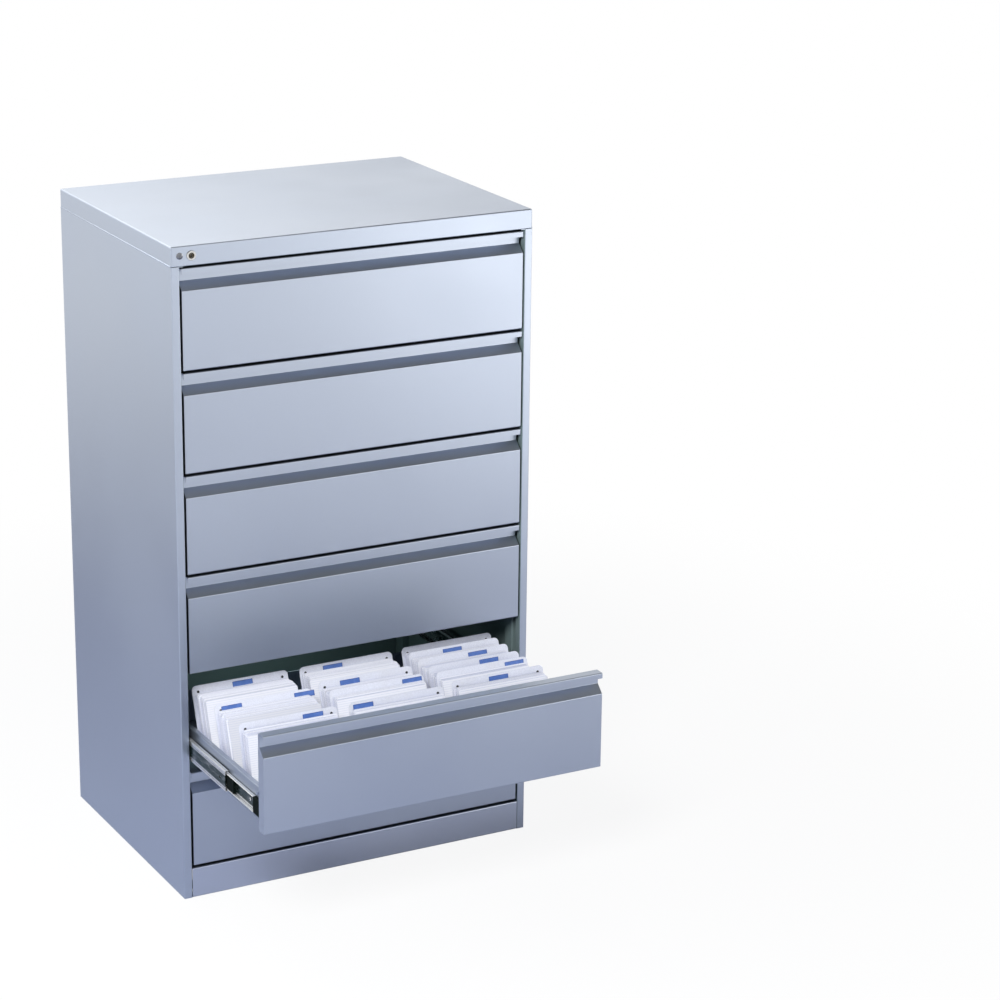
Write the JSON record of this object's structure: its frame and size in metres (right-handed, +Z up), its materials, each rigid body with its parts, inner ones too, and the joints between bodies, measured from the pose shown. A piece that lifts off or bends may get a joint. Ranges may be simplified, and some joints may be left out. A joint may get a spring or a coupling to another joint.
{
  "type": "filing cabinet",
  "caption": "Tall sheet-metal card-index cabinet with full-width drawers on telescopic slides; one drawer stands open with card rows, a cam lock secures all drawers.",
  "frame": {"origin": "on the floor, under the centre of the carcass", "axes": "+X to the right, +Y to the back, +Z up"},
  "size_m": [0.787, 0.944, 1.357],
  "materials": {
    "carcass_paint": "satin metallic enamel",
    "front_paint": "satin metallic enamel",
    "plinth_paint": "satin metallic enamel",
    "inner_paint": "satin enamel",
    "tray_paint": "satin metallic enamel",
    "zinc_steel": "bright zinc plate",
    "nickel": "satin nickel plate",
    "black_plastic": "matt",
    "guide_board": "coated board",
    "card_stock": "matt paper",
    "blue_tab": "semi-gloss"
  },
  "bodies": {
    "carcass": {"side_panel_left": "carcass_paint", "side_panel_right": "carcass_paint", "back_panel": "carcass_paint", "top_cover": "carcass_paint", "base_pan": "inner_paint", "plinth": "plinth_paint", "slide_uprights": "inner_paint", "slide_cabinet_members": "zinc_steel", "levelling_feet": "black_plastic", "panel_rivets": "zinc_steel", "lock_housing": "nickel", "blanking_cap": "nickel"},
    "lock_core": {"lock_core": "nickel", "lock_cam": "zinc_steel"},
    "locking_bar": {"locking_bar": "zinc_steel"},
    "drawer_1": {"drawer_1_front": "front_paint", "drawer_1_tray": "tray_paint", "drawer_1_lane_dividers": "tray_paint", "drawer_1_drawer_members": "zinc_steel", "drawer_1_slide_latches": "black_plastic"},
    "runners_1": {"drawer_1_middle_members": "zinc_steel", "drawer_1_ball_cages": "zinc_steel"},
    "drawer_2": {"drawer_2_front": "front_paint", "drawer_2_tray": "tray_paint", "drawer_2_lane_dividers": "tray_paint", "drawer_2_drawer_members": "zinc_steel", "drawer_2_slide_latches": "black_plastic"},
    "runners_2": {"drawer_2_middle_members": "zinc_steel", "drawer_2_ball_cages": "zinc_steel"},
    "drawer_3": {"drawer_3_front": "front_paint", "drawer_3_tray": "tray_paint", "drawer_3_lane_dividers": "tray_paint", "drawer_3_drawer_members": "zinc_steel", "drawer_3_slide_latches": "black_plastic"},
    "runners_3": {"drawer_3_middle_members": "zinc_steel", "drawer_3_ball_cages": "zinc_steel"},
    "drawer_4": {"drawer_4_front": "front_paint", "drawer_4_tray": "tray_paint", "drawer_4_lane_dividers": "tray_paint", "drawer_4_drawer_members": "zinc_steel", "drawer_4_slide_latches": "black_plastic"},
    "runners_4": {"drawer_4_middle_members": "zinc_steel", "drawer_4_ball_cages": "zinc_steel"},
    "drawer_5": {"drawer_5_front": "front_paint", "drawer_5_tray": "tray_paint", "drawer_5_lane_dividers": "tray_paint", "drawer_5_drawer_members": "zinc_steel", "drawer_5_slide_latches": "black_plastic", "card_guides": "guide_board", "index_cards": "card_stock", "label_tabs": "blue_tab"},
    "runners_5": {"drawer_5_middle_members": "zinc_steel", "drawer_5_ball_cages": "zinc_steel"},
    "drawer_6": {"drawer_6_front": "front_paint", "drawer_6_tray": "tray_paint", "drawer_6_lane_dividers": "tray_paint", "drawer_6_drawer_members": "zinc_steel", "drawer_6_slide_latches": "black_plastic"},
    "runners_6": {"drawer_6_middle_members": "zinc_steel", "drawer_6_ball_cages": "zinc_steel"}
  },
  "joints": [
    {"name": "lock_turn", "type": "hinge", "parent": "carcass", "child": "lock_core", "pos_m": [-0.351, -0.295, 1.337], "axis": [0, 1, 0], "range_deg": [0, 90]},
    {"name": "bar_lift", "type": "slide", "parent": "carcass", "child": "locking_bar", "axis": [0, 0, 1], "range_m": [0, 0.00651]},
    {"name": "drawer_1_slide", "type": "slide", "parent": "carcass", "child": "drawer_1", "axis": [0, -1, 0], "range_m": [0, 0.51]},
    {"name": "runners_1_slide", "type": "slide", "parent": "carcass", "child": "runners_1", "axis": [0, -1, 0], "range_m": [-0.0005, 0.2912]},
    {"name": "drawer_2_slide", "type": "slide", "parent": "carcass", "child": "drawer_2", "axis": [0, -1, 0], "range_m": [0, 0.51]},
    {"name": "runners_2_slide", "type": "slide", "parent": "carcass", "child": "runners_2", "axis": [0, -1, 0], "range_m": [-0.0005, 0.2912]},
    {"name": "drawer_3_slide", "type": "slide", "parent": "carcass", "child": "drawer_3", "axis": [0, -1, 0], "range_m": [0, 0.51]},
    {"name": "runners_3_slide", "type": "slide", "parent": "carcass", "child": "runners_3", "axis": [0, -1, 0], "range_m": [-0.0005, 0.2912]},
    {"name": "drawer_4_slide", "type": "slide", "parent": "carcass", "child": "drawer_4", "axis": [0, -1, 0], "range_m": [0, 0.51]},
    {"name": "runners_4_slide", "type": "slide", "parent": "carcass", "child": "runners_4", "axis": [0, -1, 0], "range_m": [-0.0005, 0.2912]},
    {"name": "drawer_5_slide", "type": "slide", "parent": "carcass", "child": "drawer_5", "axis": [0, -1, 0], "range_m": [-0.353, 0.157]},
    {"name": "runners_5_slide", "type": "slide", "parent": "carcass", "child": "runners_5", "axis": [0, -1, 0], "range_m": [-0.20171, 0.08999]},
    {"name": "drawer_6_slide", "type": "slide", "parent": "carcass", "child": "drawer_6", "axis": [0, -1, 0], "range_m": [0, 0.51]},
    {"name": "runners_6_slide", "type": "slide", "parent": "carcass", "child": "runners_6", "axis": [0, -1, 0], "range_m": [-0.0005, 0.2912]}
  ],
  "couplings": [
    {"joint": "lock_turn", "follows": "bar_lift", "rad_per_m": 241.46},
    {"joint": "runners_1_slide", "follows": "drawer_1_slide", "ratio": 0.57},
    {"joint": "runners_2_slide", "follows": "drawer_2_slide", "ratio": 0.57},
    {"joint": "runners_3_slide", "follows": "drawer_3_slide", "ratio": 0.57},
    {"joint": "runners_4_slide", "follows": "drawer_4_slide", "ratio": 0.57},
    {"joint": "runners_5_slide", "follows": "drawer_5_slide", "ratio": 0.57},
    {"joint": "runners_6_slide", "follows": "drawer_6_slide", "ratio": 0.57}
  ]
}
